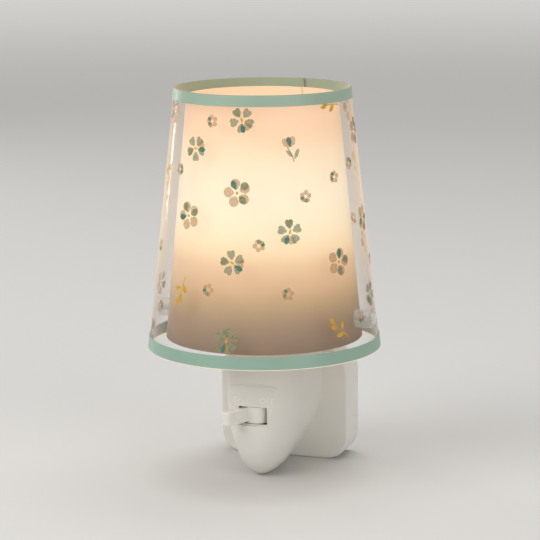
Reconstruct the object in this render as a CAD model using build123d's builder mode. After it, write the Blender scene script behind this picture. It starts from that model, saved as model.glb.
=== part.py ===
from build123d import *
import math
import os

os.makedirs("parts", exist_ok=True)

# Plug-in night light. Z is the axis of the shade and z = 0 is the surface that it stands on.
# The switch faces -Y, the plug points to +Y. All sizes are in millimetres.

# Plate at the back of the housing
plate_width = 70.6
plate_height = 58.5
plate_depth = 20.4
plate_front_y = 31.3
plate_corner_r = 12.0
plate_edge_r = 1.2
wall = 2.0
cover_thickness = 2.4
cover_gap = 0.15
side_hole_r = 0.45
side_hole_pitch = 7.1
side_hole_z = 28.5

# Boat-shaped body in front of the plate, which carries the lamp
boat_height = 66.0
boat_steps = 16
shoulder_z = 50.0
root_half_width = 22.3
nose_half_width = 18.7
keel_half_width = 2.5
nose_centre_y = 3.0
nose_length = 26.0
nose_fullness = 0.66
keel_reach = 7.6
side_power = 2.5
front_power = 2.8
roof_edge_r = 1.6

# Flat switch panel cut into the nose
panel_top_z = 49.6
panel_top_y = -17.9
panel_tilt = 9.0
ledge_slope = 30.0

# Switch: the lever turns about an upright pin behind the panel
slot_z = 34.6
slot_half_width = 7.6
slot_height = 9.0
rebate_border = 1.1
rebate_depth = 0.7
pivot_y = -11.0
lever_angle = 60.0
lever_reach = 23.4
lever_height = 7.4
lever_root = 4.2
lever_tip = 5.2
lever_edge_r = 1.0
drum_r = 8.4
drum_spread = 166.0
drum_height = 8.4
hub_r = 3.4
pin_r = 1.0
pin_play = 0.05
pin_head = 0.6
running_gap = 0.3
bridge_r = 6.0
bridge_thickness = 0.6
bridge_height = 3.4
bridge_spread = 60.0
contact_thickness = 0.8
live_contact_x = 5.4
switched_contact_x = 1.2
contact_rear_y = 6.0
cradle_wall = 1.6
cradle_ear_r = 5.5
cradle_rear_y = 2.0
cradle_half_width = 14.2
post_x = 11.6
post_r = 2.2
screw_r = 1.1
screw_head_r = 2.1
screw_head = 1.3
screw_length = 8.0
screw_play = 0.05
detent_thickness = 0.5
detent_height = 2.8
detent_foot = 1.2

# Plug: round pins that stand out of a flat boss on the rear cover
plug_width = 35.3
plug_height = 13.7
plug_corner_r = 5.5
plug_length = 17.0
prong_spacing = 19.0
prong_r = 2.0
prong_length = 19.0
prong_core_r = 1.4
prong_inside = 9.0
collar_length = 10.0
collar_r = 1.8
terminal_width = 6.0
terminal_length = 8.0
terminal_height = 7.0

# Lamp holder on the roof of the boat
holder_r = 13.75
holder_wall = 1.85
holder_height = 52.0
holder_base = 3.0
spigot_r = 9.0
spigot_play = 0.2
spigot_length = 5.8
nut_r = 12.5
nut_height = 3.4
cable_bore_r = 5.0
shelf_depth = 26.0
shelf_r = 10.2
core_play = 0.1
core_recess = 1.0
core_floor = 4.0
contact_well_r = 5.0
contact_well = 7.0
seat_r = 18.0
seat_thickness = 2.5
seat_above_roof = 10.0
shell_wall = 0.5
shell_play = 0.2
stud_r = 0.7
tip_stud_x = 3.4
shell_stud_x = -6.3
leaf_width = 4.0
block_width = 4.4
block_length = 6.0
block_height = 5.0

# Bulb with a small screw cap
bulb_height = 57.0
bulb_r = 13.0
bulb_wall = 0.8
cap_r = 6.95
cap_wall = 0.4
cap_height = 14.0
cap_bottom_r = 6.0
tip_r = 2.4
tip_height = 1.4
insulator_height = 2.4
glass_shoulder = 8.0
stem_height = 22.0
stem_r = 4.0
stem_wall = 0.8
filament_r = 0.35
filament_span = 12.0
filament_rise = 9.0

# Shade: an outer cone of clear film and an inner cone of white film
shade_bottom_z = 67.7
shade_height = 133.8
shade_bottom_r = 59.6
shade_top_r = 44.6
film = 0.5
band_thickness = 0.4
bottom_band = 6.2
top_band = 5.6
band_edge = 0.5
diffuser_bottom_z = 73.5
diffuser_height = 124.0
film_gap_bottom = 8.6
film_gap_top = 5.6
spacer_r = 4.65
rivet_r = 1.5
rivet_head_r = 3.0
rivet_head = 1.6
rivet_play = 0.1
rivet_clear = 1.0
ring_width = 3.2
ring_height = 3.0
ring_play = 0.3
arm_width = 9.0
arm_height = 2.0
lug_above_rivet = 5.0
lug_thickness = 1.8
seat_gap = 0.05

# Wiring inside the housing
lead_r = 0.9
lead_straight = 10.0
lead_rise = 10.8
lead_entry = 4.0
arc_share = 0.45

# Places that follow from the sizes above
plate_back_y = plate_front_y + plate_depth
plate_mid_z = plate_height / 2
cover_front_y = plate_back_y - cover_thickness
plug_face_y = plate_back_y + plug_length
prong_tip_y = plug_face_y + prong_length
prong_end_y = cover_front_y - prong_inside
terminal_screw_y = prong_end_y + terminal_length / 3
roof_z = boat_height
ceiling_z = boat_height - wall
panel_slope = math.tan(math.radians(panel_tilt))
ledge_rise = math.tan(math.radians(ledge_slope))
nose_front_y = nose_centre_y - nose_length
sill_z = slot_z - (slot_height + rebate_border) / 2
sill_y = panel_top_y - (panel_top_z - sill_z) * panel_slope
slot_y = panel_top_y - (panel_top_z - slot_z) * panel_slope
hub_height = slot_height - 2 * running_gap
hub_bottom_z = slot_z - hub_height / 2
ear_gap = slot_height / 2
bridge_bottom_z = hub_bottom_z + running_gap
bridge_mid_z = bridge_bottom_z + bridge_height / 2
half_angle = lever_angle / 2
holder_top_z = roof_z + holder_height
shelf_z = roof_z + shelf_depth
core_top_z = holder_top_z - core_recess
well_top_z = shelf_z + core_floor + contact_well
shell_inner_r = cap_r + shell_play
shell_outer_r = shell_inner_r + shell_wall
seat_top_z = roof_z + seat_above_roof + seat_thickness
bulb_bottom_z = well_top_z
bulb_top_z = bulb_bottom_z + bulb_height
cap_bottom_z = bulb_bottom_z + tip_height + insulator_height
cap_top_z = cap_bottom_z + cap_height
shade_top_z = shade_bottom_z + shade_height
diffuser_top_z = diffuser_bottom_z + diffuser_height
diffuser_bottom_r = shade_bottom_r - film - film_gap_bottom
diffuser_top_r = shade_top_r - film - film_gap_top
ring_bottom_z = seat_top_z
rivet_z = ring_bottom_z + arm_height + rivet_clear + rivet_head_r


def root_width(z):
    """Half width of the boat where it meets the plate: an arc that stands upright at the shoulder."""
    rise = root_half_width - keel_half_width
    arc_r = (shoulder_z**2 + rise**2) / (2 * rise)
    return root_half_width - arc_r + math.sqrt(arc_r**2 - max(shoulder_z - z, 0) ** 2)


def nose_width(z):
    """Half width of the boat where its rounded nose begins."""
    below = max(shoulder_z - z, 0) / shoulder_z
    return max(keel_half_width, nose_half_width * math.sqrt(1 - below**side_power))


def nose_depth(z):
    """Length of the rounded nose, which draws back towards the keel."""
    below = max(shoulder_z - z, 0) / shoulder_z
    return keel_reach + (nose_length - keel_reach) * math.sqrt(1 - below**front_power)


def boat_outline(z, inset, rear_y):
    """Draw a horizontal section of the boat: straight sides and a nose of two full curves."""
    root = root_width(z) - inset
    side = nose_width(z) - inset
    tip_y = nose_centre_y - nose_depth(z) + inset
    Polyline((side, nose_centre_y), (root, rear_y), (-root, rear_y), (-side, nose_centre_y))
    for half in (-side, side):
        Bezier(
            (half, nose_centre_y),
            (half, nose_centre_y + (tip_y - nose_centre_y) * nose_fullness),
            (half * nose_fullness, tip_y),
            (0, tip_y),
        )


def shade_radius(z):
    """Outer radius of the outer film."""
    share = (z - shade_bottom_z) / shade_height
    return shade_bottom_r + (shade_top_r - shade_bottom_r) * share


def diffuser_radius(z):
    """Outer radius of the inner film."""
    share = (z - diffuser_bottom_z) / diffuser_height
    return diffuser_bottom_r + (diffuser_top_r - diffuser_bottom_r) * share


# Boat: horizontal sections with straight sides and a rounded nose
boat_levels = [(step / boat_steps) ** 1.5 for step in range(boat_steps + 1)]
root_y = plate_front_y + 2.5 * wall
space_rear_y = plate_front_y + 1.5 * wall

with BuildPart() as boat:
    for level in boat_levels:
        z = level * shoulder_z
        with BuildSketch(Plane.XY.offset(z)):
            with BuildLine():
                boat_outline(z, 0, root_y)
            make_face()
    loft(ruled=True)
    extrude(boat.faces().sort_by(Axis.Z)[-1], amount=boat_height - shoulder_z)
    roof_edges = boat.faces().sort_by(Axis.Z)[-1].edges()
    fillet(roof_edges.filter_by_position(Axis.Y, nose_front_y - wall / 2, plate_front_y), roof_edge_r)

# Space inside the boat, which leaves the wall, the panel's backing and two screw posts
with BuildPart() as boat_space:
    for level in boat_levels:
        z = level * shoulder_z
        with BuildSketch(Plane.XY.offset(z + wall)):
            with BuildLine():
                boat_outline(z, wall, space_rear_y)
            make_face()
    loft(ruled=True)
    extrude(boat_space.faces().sort_by(Axis.Z)[-1], amount=ceiling_z - shoulder_z - wall)
    with BuildSketch(Plane.YZ):
        with BuildLine():
            Polyline(
                (panel_top_y + wall, panel_top_z),
                (sill_y + wall, sill_z),
                (sill_y + wall, sill_z - wall),
                (nose_front_y - wall, sill_z - wall),
                (nose_front_y - wall, panel_top_z + (panel_top_y - nose_front_y) * ledge_rise + 3 * wall),
                (panel_top_y + wall, panel_top_z + wall),
                close=True,
            )
        make_face()
    extrude(amount=nose_half_width, both=True, mode=Mode.SUBTRACT)
    with BuildSketch(Plane.XZ.offset(-cradle_rear_y)):
        with Locations((-post_x, slot_z), (post_x, slot_z)):
            Circle(post_r)
    extrude(amount=nose_length + nose_centre_y, mode=Mode.SUBTRACT)

with BuildPart() as plate_space:
    with BuildSketch(Plane.XZ.offset(-plate_front_y - wall)):
        with Locations((0, plate_mid_z)):
            RectangleRounded(plate_width - 2 * wall, plate_height - 2 * wall, plate_corner_r - wall)
    extrude(amount=wall - plate_depth)
    with BuildSketch(Plane.XZ.offset(-cover_front_y)):
        with Locations((0, plate_mid_z)):
            with GridLocations(plate_width - 2 * plate_corner_r, plate_height - 2 * plate_corner_r, 2, 2):
                Circle(post_r + wall / 2)
    extrude(amount=plate_depth - wall - cover_thickness, mode=Mode.SUBTRACT)

# Front housing: boat and plate in one moulding
with BuildPart() as front_housing:
    with BuildSketch(Plane.XZ.offset(-plate_front_y)):
        with Locations((0, plate_mid_z)):
            RectangleRounded(plate_width, plate_height, plate_corner_r)
    extrude(amount=-plate_depth)
    fillet(front_housing.faces().sort_by(Axis.Y)[0].edges(), plate_edge_r)
    add(boat.part)
    add(boat_space.part, mode=Mode.SUBTRACT)
    add(plate_space.part, mode=Mode.SUBTRACT)
    with BuildSketch(Plane.YZ):
        with BuildLine():
            Polyline(
                (panel_top_y, panel_top_z),
                (sill_y, sill_z),
                (nose_front_y - wall, sill_z),
                (nose_front_y - wall, panel_top_z + (panel_top_y - nose_front_y + wall) * ledge_rise),
                close=True,
            )
        make_face()
    extrude(amount=nose_half_width, both=True, mode=Mode.SUBTRACT)
    with BuildSketch(Plane.XZ.offset(-slot_y - 2 * wall)):
        with Locations((0, slot_z)):
            Rectangle(2 * slot_half_width, slot_height)
    extrude(amount=4 * wall, mode=Mode.SUBTRACT)
    with BuildSketch(Plane.XZ.offset(-slot_y - rebate_depth)):
        with Locations((0, slot_z)):
            Rectangle(2 * (slot_half_width + rebate_border), slot_height + rebate_border)
    extrude(amount=2 * wall, mode=Mode.SUBTRACT)
    with BuildSketch(Plane.XY.offset(ceiling_z)):
        Circle(spigot_r + spigot_play)
    extrude(amount=wall, mode=Mode.SUBTRACT)
    with BuildSketch(Plane.XZ.offset(-cradle_rear_y)):
        with Locations((-post_x, slot_z), (post_x, slot_z)):
            Circle(screw_r + screw_play)
    extrude(amount=screw_length, mode=Mode.SUBTRACT)
    with BuildSketch(Plane.XZ.offset(-cover_front_y)):
        with Locations((0, plate_mid_z)):
            with GridLocations(plate_width - 2 * plate_corner_r, plate_height - 2 * plate_corner_r, 2, 2):
                Circle(screw_r + screw_play)
    extrude(amount=screw_length + wall, mode=Mode.SUBTRACT)
    for side in (-1, 1):
        with BuildSketch(Plane.YZ.offset(side * plate_width / 2)):
            for step in (-2, -1, 1, 2):
                with Locations((plate_front_y + plate_depth * 2 / 3, side_hole_z + step * side_hole_pitch)):
                    Circle(side_hole_r)
        extrude(amount=-side * 1.5 * wall, mode=Mode.SUBTRACT)

front_housing.part.label = "front_housing"
export_step(front_housing.part, "parts/front_housing.step")

# Rear cover: let into the back of the plate, with the plug's boss on it
with BuildPart() as rear_cover:
    with BuildSketch(Plane.XZ.offset(-cover_front_y)):
        with Locations((0, plate_mid_z)):
            RectangleRounded(
                plate_width - 2 * wall - 2 * cover_gap,
                plate_height - 2 * wall - 2 * cover_gap,
                plate_corner_r - wall - cover_gap,
            )
    extrude(amount=-cover_thickness)
    with BuildSketch(Plane.XZ.offset(-plate_back_y)):
        with Locations((0, plate_mid_z)):
            RectangleRounded(plug_width, plug_height, plug_corner_r)
    extrude(amount=-plug_length)
    plug_rim = rear_cover.faces().sort_by(Axis.Y)[-1].edges()
    fillet(plug_rim, plate_edge_r)
    with BuildSketch(Plane.XZ.offset(-cover_front_y)):
        with Locations((0, plate_mid_z)):
            with GridLocations(prong_spacing, 0, 2, 1):
                Circle(prong_core_r + pin_play)
    extrude(amount=-cover_thickness - plug_length, mode=Mode.SUBTRACT)
    with Locations(Plane(origin=(0, plate_back_y, plate_mid_z), x_dir=(1, 0, 0), z_dir=(0, 1, 0))):
        with GridLocations(plate_width - 2 * plate_corner_r, plate_height - 2 * plate_corner_r, 2, 2):
            CounterSinkHole(screw_r + 2 * screw_play, screw_head_r + screw_play, cover_thickness)

rear_cover.part.label = "rear_cover"
export_step(rear_cover.part, "parts/rear_cover.step")

# Four countersunk screws that hold the rear cover
with BuildPart() as cover_screws:
    with Locations(Plane(origin=(0, plate_back_y, plate_mid_z), x_dir=(1, 0, 0), z_dir=(0, 1, 0))):
        with GridLocations(plate_width - 2 * plate_corner_r, plate_height - 2 * plate_corner_r, 2, 2):
            Cylinder(screw_r, screw_length + wall, align=(Align.CENTER, Align.CENTER, Align.MAX))
            Cone(screw_r, screw_head_r, screw_head_r - screw_r, align=(Align.CENTER, Align.CENTER, Align.MAX))
            Box(
                2 * screw_head_r,
                screw_head / 3,
                screw_head / 2,
                align=(Align.CENTER, Align.CENTER, Align.MAX),
                mode=Mode.SUBTRACT,
            )

cover_screws.part.label = "cover_screws"
export_step(cover_screws.part, "parts/cover_screws.step")

# Two round pins of the plug, with a thinner core through the collars and the boss
prong_profile = [
    (0, prong_end_y),
    (prong_core_r, prong_end_y),
    (prong_core_r, plug_face_y + collar_length),
    (prong_r, plug_face_y + collar_length),
    (prong_r, prong_tip_y - prong_r / 2),
    (prong_r / 2, prong_tip_y),
    (0, prong_tip_y),
]
with BuildPart() as plug_pins:
    for side in (-1, 1):
        middle = Plane(origin=(side * prong_spacing / 2, 0, plate_mid_z))
        with BuildSketch(middle):
            with BuildLine():
                Polyline(*prong_profile, close=True)
            make_face()
        revolve(axis=Axis((side * prong_spacing / 2, 0, plate_mid_z), (0, 1, 0)))

plug_pins.part.label = "plug_pins"
export_step(plug_pins.part, "parts/plug_pins.step")

# Insulating collars on the first stretch of the pins
with BuildPart() as pin_collars:
    with BuildSketch(Plane.XZ.offset(-plug_face_y)):
        with Locations((0, plate_mid_z)):
            with GridLocations(prong_spacing, 0, 2, 1):
                Circle(collar_r)
                Circle(prong_core_r + pin_play, mode=Mode.SUBTRACT)
    extrude(amount=-collar_length)

pin_collars.part.label = "pin_collars"
export_step(pin_collars.part, "parts/pin_collars.step")

# Clamp blocks on the inner ends of the pins, each with a screw from above
with BuildPart() as pin_terminals:
    with BuildSketch(Plane.XZ.offset(wall - prong_end_y)):
        with Locations((0, plate_mid_z)):
            with GridLocations(prong_spacing, 0, 2, 1):
                RectangleRounded(terminal_width, terminal_height, wall / 4)
    extrude(amount=-terminal_length)
    with BuildSketch(Plane.XZ.offset(-prong_end_y)):
        with Locations((0, plate_mid_z)):
            with GridLocations(prong_spacing, 0, 2, 1):
                Circle(prong_core_r + pin_play)
    extrude(amount=-terminal_length, mode=Mode.SUBTRACT)
    with BuildSketch(Plane.XY.offset(plate_mid_z)):
        with Locations((0, terminal_screw_y)):
            with GridLocations(prong_spacing, 0, 2, 1):
                Circle(screw_r + pin_play)
    extrude(amount=terminal_height, mode=Mode.SUBTRACT)

pin_terminals.part.label = "pin_terminals"
export_step(pin_terminals.part, "parts/pin_terminals.step")

with BuildPart() as terminal_screws:
    with BuildSketch(Plane.XY.offset(plate_mid_z + prong_core_r + pin_play)):
        with Locations((0, terminal_screw_y)):
            with GridLocations(prong_spacing, 0, 2, 1):
                Circle(screw_r)
    extrude(amount=terminal_height / 2)
    with BuildSketch(Plane.XY.offset(plate_mid_z + prong_core_r + pin_play + terminal_height / 2)):
        with Locations((0, terminal_screw_y)):
            with GridLocations(prong_spacing, 0, 2, 1):
                Rectangle(2 * screw_r, screw_head / 3)
    extrude(amount=-screw_head / 2, mode=Mode.SUBTRACT)

terminal_screws.part.label = "terminal_screws"
export_step(terminal_screws.part, "parts/terminal_screws.step")

# Cradle: two ears that hold the lever's pin, on a back wall screwed to the posts
with BuildPart() as switch_cradle:
    for bottom in (slot_z - ear_gap - cradle_wall, slot_z + ear_gap):
        with BuildSketch(Plane.XY.offset(bottom)):
            with Locations((0, pivot_y)):
                Circle(cradle_ear_r)
            with Locations((0, (pivot_y + cradle_rear_y) / 2)):
                Rectangle(2 * cradle_ear_r, cradle_rear_y - pivot_y)
            with Locations((0, pivot_y)):
                Circle(pin_r + pin_play / 2, mode=Mode.SUBTRACT)
        extrude(amount=cradle_wall)
    with BuildSketch(Plane.XZ.offset(-cradle_rear_y)):
        with Locations((0, slot_z)):
            RectangleRounded(2 * cradle_half_width, slot_height + 2 * cradle_wall, cradle_wall)
        with Locations((-post_x, slot_z), (post_x, slot_z)):
            Circle(screw_r + 2 * screw_play, mode=Mode.SUBTRACT)
        with Locations((live_contact_x, bridge_mid_z), (switched_contact_x, bridge_mid_z)):
            Rectangle(contact_thickness + pin_play, bridge_height + pin_play, mode=Mode.SUBTRACT)
    extrude(amount=-cradle_wall)

switch_cradle.part.label = "switch_cradle"
export_step(switch_cradle.part, "parts/switch_cradle.step")

with BuildPart() as cradle_screws:
    with BuildSketch(Plane.XZ.offset(-cradle_rear_y - cradle_wall)):
        with Locations((-post_x, slot_z), (post_x, slot_z)):
            Circle(screw_head_r)
    extrude(amount=-screw_head)
    with BuildSketch(Plane.XZ.offset(-cradle_rear_y - cradle_wall)):
        with Locations((-post_x, slot_z), (post_x, slot_z)):
            Circle(screw_r)
    extrude(amount=screw_length)
    with BuildSketch(Plane.XZ.offset(-cradle_rear_y - cradle_wall - screw_head)):
        with Locations((-post_x, slot_z), (post_x, slot_z)):
            Rectangle(2 * screw_head_r, screw_head / 2)
    extrude(amount=screw_head / 2, mode=Mode.SUBTRACT)

cradle_screws.part.label = "cradle_screws"
export_step(cradle_screws.part, "parts/cradle_screws.step")

with BuildPart() as lever_pin:
    with BuildSketch(Plane.XY.offset(slot_z - ear_gap - cradle_wall)):
        with Locations((0, pivot_y)):
            Circle(pin_r)
    extrude(amount=slot_height + 2 * cradle_wall)
    with BuildSketch(Plane.XY.offset(slot_z + ear_gap + cradle_wall)):
        with Locations((0, pivot_y)):
            Circle(pin_r + pin_head)
    extrude(amount=pin_head)

lever_pin.part.label = "lever_pin"
export_step(lever_pin.part, "parts/lever_pin.step")

# Lever: hub, curved shield behind the slot, blade, and a tail that carries the contact bridge.
# Its sketches lie on planes turned with the lever, which rests at the ON end of its throw.
lever_plane = Plane(origin=(0, pivot_y, slot_z)).rotated((0, 0, -half_angle))
blade_flat = lever_reach - lever_tip / 2

with BuildPart() as switch_lever:
    with BuildSketch(lever_plane.offset(-lever_height / 2)):
        with BuildLine():
            Polyline(
                (-lever_tip / 2, -blade_flat),
                (-lever_root / 2, -drum_r),
                (-lever_root / 2, 0),
                (lever_root / 2, 0),
                (lever_root / 2, -drum_r),
                (lever_tip / 2, -blade_flat),
            )
            ThreePointArc((lever_tip / 2, -blade_flat), (0, -lever_reach), (-lever_tip / 2, -blade_flat))
        make_face()
    extrude(amount=lever_height)
    blade_ends = switch_lever.faces().filter_by(Axis.Z)
    fillet(blade_ends.edges(), lever_edge_r)
    with BuildSketch(lever_plane.offset(-drum_height / 2)):
        with BuildLine():
            shield = CenterArc((0, 0), drum_r, 270 - drum_spread / 2, drum_spread)
            Polyline(shield @ 1, (0, 0), shield @ 0)
        make_face()
    extrude(amount=drum_height)
    with BuildSketch(lever_plane.offset(-hub_height / 2)):
        Circle(hub_r)
    extrude(amount=hub_height)
    with BuildSketch(lever_plane.offset(bridge_bottom_z - slot_z)):
        with BuildLine():
            tail = CenterArc((0, 0), bridge_r - pin_play, 90 - bridge_spread / 2, bridge_spread)
            Polyline(tail @ 1, (0, 0), tail @ 0)
        make_face()
    extrude(amount=bridge_height)
    with BuildSketch(lever_plane.offset(-hub_height / 2)):
        Circle(pin_r + pin_play)
    extrude(amount=hub_height, mode=Mode.SUBTRACT)

switch_lever.part.label = "switch_lever"
export_step(switch_lever.part, "parts/switch_lever.step")

# Brass bridge on the tail, which joins the two contacts while the lever is at ON
with BuildPart() as contact_bridge:
    with BuildSketch(lever_plane.offset(bridge_bottom_z - slot_z)):
        with BuildLine():
            inner = CenterArc((0, 0), bridge_r, 90 - bridge_spread / 2, bridge_spread)
            outer = CenterArc((0, 0), bridge_r + bridge_thickness, 90 - bridge_spread / 2, bridge_spread)
            Line(inner @ 0, outer @ 0)
            Line(inner @ 1, outer @ 1)
        make_face()
    extrude(amount=bridge_height)

contact_bridge.part.label = "contact_bridge"
export_step(contact_bridge.part, "parts/contact_bridge.step")

# Two upright brass strips in the cradle, which end a running gap short of the bridge's path
with BuildPart() as fixed_contacts:
    with BuildSketch(Plane.XY.offset(bridge_bottom_z)):
        for x in (live_contact_x, switched_contact_x):
            near_x = x - contact_thickness / 2
            reach = math.sqrt((bridge_r + bridge_thickness + running_gap) ** 2 - near_x**2)
            with Locations((x, (pivot_y + reach + contact_rear_y) / 2)):
                Rectangle(contact_thickness, contact_rear_y - pivot_y - reach)
    extrude(amount=bridge_height)

fixed_contacts.part.label = "fixed_contacts"
export_step(fixed_contacts.part, "parts/fixed_contacts.step")

# Leaf spring from the cradle's back wall to the upper half of the hub
with BuildPart() as detent_spring:
    with BuildSketch(Plane.XY.offset(bridge_bottom_z + bridge_height + running_gap)):
        with BuildLine() as leaf:
            Polyline(
                (-bridge_r - detent_foot, cradle_rear_y - detent_thickness / 2),
                (-bridge_r, cradle_rear_y - detent_thickness / 2),
                (-bridge_r + detent_foot / 2, pivot_y + hub_r + 2 * detent_foot),
                (-hub_r / 2, pivot_y + hub_r + running_gap + detent_thickness / 2),
            )
        trace(line_width=detent_thickness)
    extrude(amount=detent_height)

detent_spring.part.label = "detent_spring"
export_step(detent_spring.part, "parts/detent_spring.step")

# Lamp holder: sleeve with a spigot through the roof, and a flange that carries the shade
core_r = holder_r - holder_wall - core_play
with BuildPart() as holder_sleeve:
    with BuildSketch(Plane.XZ):
        with BuildLine():
            Polyline(
                (cable_bore_r, roof_z - spigot_length),
                (spigot_r, roof_z - spigot_length),
                (spigot_r, roof_z),
                (holder_r, roof_z),
                (holder_r, seat_top_z - seat_thickness),
                (seat_r, seat_top_z - seat_thickness),
                (seat_r, seat_top_z),
                (holder_r, seat_top_z),
                (holder_r, holder_top_z),
                (holder_r - holder_wall, holder_top_z),
                (holder_r - holder_wall, shelf_z),
                (shelf_r, shelf_z),
                (shelf_r, roof_z + holder_base),
                (cable_bore_r, roof_z + holder_base),
                close=True,
            )
        make_face()
    revolve(axis=Axis.Z)
    rims = holder_sleeve.edges().filter_by(GeomType.CIRCLE).group_by(Axis.Z)[-1]
    chamfer(rims, holder_wall / 5)

holder_sleeve.part.label = "holder_sleeve"
export_step(holder_sleeve.part, "parts/holder_sleeve.step")

with BuildPart() as holder_nut:
    with BuildSketch(Plane.XY.offset(ceiling_z)):
        RegularPolygon(nut_r, 6)
        Circle(spigot_r + pin_play, mode=Mode.SUBTRACT)
    extrude(amount=-nut_height)

holder_nut.part.label = "holder_nut"
export_step(holder_nut.part, "parts/holder_nut.step")

# Insulating core on the sleeve's shelf, with a seat for the screw shell and a well for the contact
with BuildPart() as holder_core:
    with BuildSketch(Plane.XZ):
        with BuildLine():
            Polyline(
                (0, shelf_z),
                (core_r, shelf_z),
                (core_r, core_top_z),
                (shell_outer_r + core_play, core_top_z),
                (shell_outer_r + core_play, well_top_z),
                (contact_well_r, well_top_z),
                (contact_well_r, shelf_z + core_floor),
                (0, shelf_z + core_floor),
                close=True,
            )
        make_face()
    revolve(axis=Axis.Z)
    with BuildSketch(Plane.XY.offset(shelf_z)):
        with Locations((tip_stud_x, 0), (shell_stud_x, 0)):
            Circle(stud_r + pin_play)
    extrude(amount=core_floor + contact_well, mode=Mode.SUBTRACT)

holder_core.part.label = "holder_core"
export_step(holder_core.part, "parts/holder_core.step")

# Brass shell, with a stud down to its terminal
with BuildPart() as holder_shell:
    with BuildSketch(Plane.XY.offset(well_top_z)):
        Circle(shell_outer_r)
        Circle(shell_inner_r, mode=Mode.SUBTRACT)
    extrude(amount=core_top_z - well_top_z - shell_wall)
    with BuildSketch(Plane.XY.offset(well_top_z)):
        Circle(shell_outer_r)
        Circle(contact_well_r + shell_wall, mode=Mode.SUBTRACT)
    extrude(amount=shell_wall)
    with BuildSketch(Plane.XY.offset(shelf_z)):
        with Locations((shell_stud_x, 0)):
            Circle(stud_r)
    extrude(amount=core_floor + contact_well + shell_wall / 2)

holder_shell.part.label = "holder_shell"
export_step(holder_shell.part, "parts/holder_shell.step")

# Sprung strip under the bulb's tip, with a stud down to its terminal
leaf_z = shelf_z + core_floor + shell_wall / 2
with BuildPart() as holder_contact:
    with BuildSketch(Plane.XZ):
        with BuildLine():
            Polyline(
                (tip_stud_x + stud_r, leaf_z),
                (-tip_stud_x, leaf_z),
                (-tip_stud_x - stud_r / 2, leaf_z + stud_r),
                (tip_r / 2, well_top_z - running_gap - shell_wall),
                (tip_r, well_top_z - 2 * shell_wall - running_gap),
            )
        trace(line_width=shell_wall)
    extrude(amount=leaf_width / 2, both=True)
    with BuildSketch(Plane.XY.offset(shelf_z)):
        with Locations((tip_stud_x, 0)):
            Circle(stud_r)
    extrude(amount=core_floor + shell_wall / 2)

holder_contact.part.label = "holder_contact"
export_step(holder_contact.part, "parts/holder_contact.step")

with BuildPart() as holder_terminals:
    with BuildSketch(Plane.XY.offset(shelf_z)):
        with Locations((tip_stud_x, 0), (shell_stud_x, 0)):
            RectangleRounded(block_width, block_length, wall / 4)
    extrude(amount=-block_height)

holder_terminals.part.label = "holder_terminals"
export_step(holder_terminals.part, "parts/holder_terminals.step")

# Bulb: tip contact, insulator, screw cap, frosted glass, stem and filament
insulator_z = bulb_bottom_z + tip_height
with BuildPart() as bulb_tip:
    with BuildSketch(Plane.XZ):
        with BuildLine():
            Polyline(
                (0, insulator_z),
                (tip_r, insulator_z),
                (tip_r, insulator_z - tip_height / 2),
                (tip_r / 2, bulb_bottom_z),
                (0, bulb_bottom_z),
                close=True,
            )
        make_face()
    revolve(axis=Axis.Z)

bulb_tip.part.label = "bulb_tip"
export_step(bulb_tip.part, "parts/bulb_tip.step")

with BuildPart() as bulb_insulator:
    with BuildSketch(Plane.XZ):
        with BuildLine():
            Polyline(
                (0, insulator_z),
                (tip_r, insulator_z),
                (cap_bottom_r, cap_bottom_z),
                (0, cap_bottom_z),
                close=True,
            )
        make_face()
    revolve(axis=Axis.Z)

bulb_insulator.part.label = "bulb_insulator"
export_step(bulb_insulator.part, "parts/bulb_insulator.step")

with BuildPart() as bulb_cap:
    with BuildSketch(Plane.XZ):
        with BuildLine():
            Polyline(
                (0, cap_bottom_z),
                (cap_bottom_r, cap_bottom_z),
                (cap_r, cap_bottom_z + cap_r - cap_bottom_r),
                (cap_r, cap_top_z),
                (cap_r - cap_wall, cap_top_z),
                (cap_r - cap_wall, cap_bottom_z + cap_r - cap_bottom_r + cap_wall),
                (cap_bottom_r - cap_wall, cap_bottom_z + cap_wall),
                (0, cap_bottom_z + cap_wall),
                close=True,
            )
        make_face()
    revolve(axis=Axis.Z)

bulb_cap.part.label = "bulb_cap"
export_step(bulb_cap.part, "parts/bulb_cap.step")

neck_r = cap_r - cap_wall - pin_play
neck_bottom_z = cap_top_z - cap_height / 2
straight_z = cap_top_z + glass_shoulder
dome_z = bulb_top_z - bulb_r
with BuildPart() as bulb_glass:
    with BuildSketch(Plane.XZ):
        with BuildLine():
            for inset, dome in ((0, bulb_r), (bulb_wall, bulb_r - bulb_wall)):
                Line((neck_r - inset, neck_bottom_z), (neck_r - inset, cap_top_z))
                Bezier(
                    (neck_r - inset, cap_top_z),
                    (neck_r - inset, cap_top_z + glass_shoulder / 2),
                    (dome, straight_z - glass_shoulder / 2),
                    (dome, straight_z),
                )
                Line((dome, straight_z), (dome, dome_z))
                CenterArc((0, dome_z), dome, 0, 90)
            Line((neck_r, neck_bottom_z), (neck_r - bulb_wall, neck_bottom_z))
            Line((0, bulb_top_z), (0, bulb_top_z - bulb_wall))
        make_face()
    revolve(axis=Axis.Z)

bulb_glass.part.label = "bulb_glass"
export_step(bulb_glass.part, "parts/bulb_glass.step")

stem_top_z = neck_bottom_z + stem_height
with BuildPart() as bulb_stem:
    with BuildSketch(Plane.XZ):
        with BuildLine():
            Polyline(
                (0, neck_bottom_z),
                (neck_r - bulb_wall - pin_play, neck_bottom_z),
                (neck_r - bulb_wall - pin_play, neck_bottom_z + stem_wall),
                (stem_r, neck_bottom_z + stem_r),
                (stem_r / 2, stem_top_z - stem_r),
                (stem_r / 2, stem_top_z),
                (0, stem_top_z),
                close=True,
            )
        make_face()
    revolve(axis=Axis.Z)

bulb_stem.part.label = "bulb_stem"
export_step(bulb_stem.part, "parts/bulb_stem.step")

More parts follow.
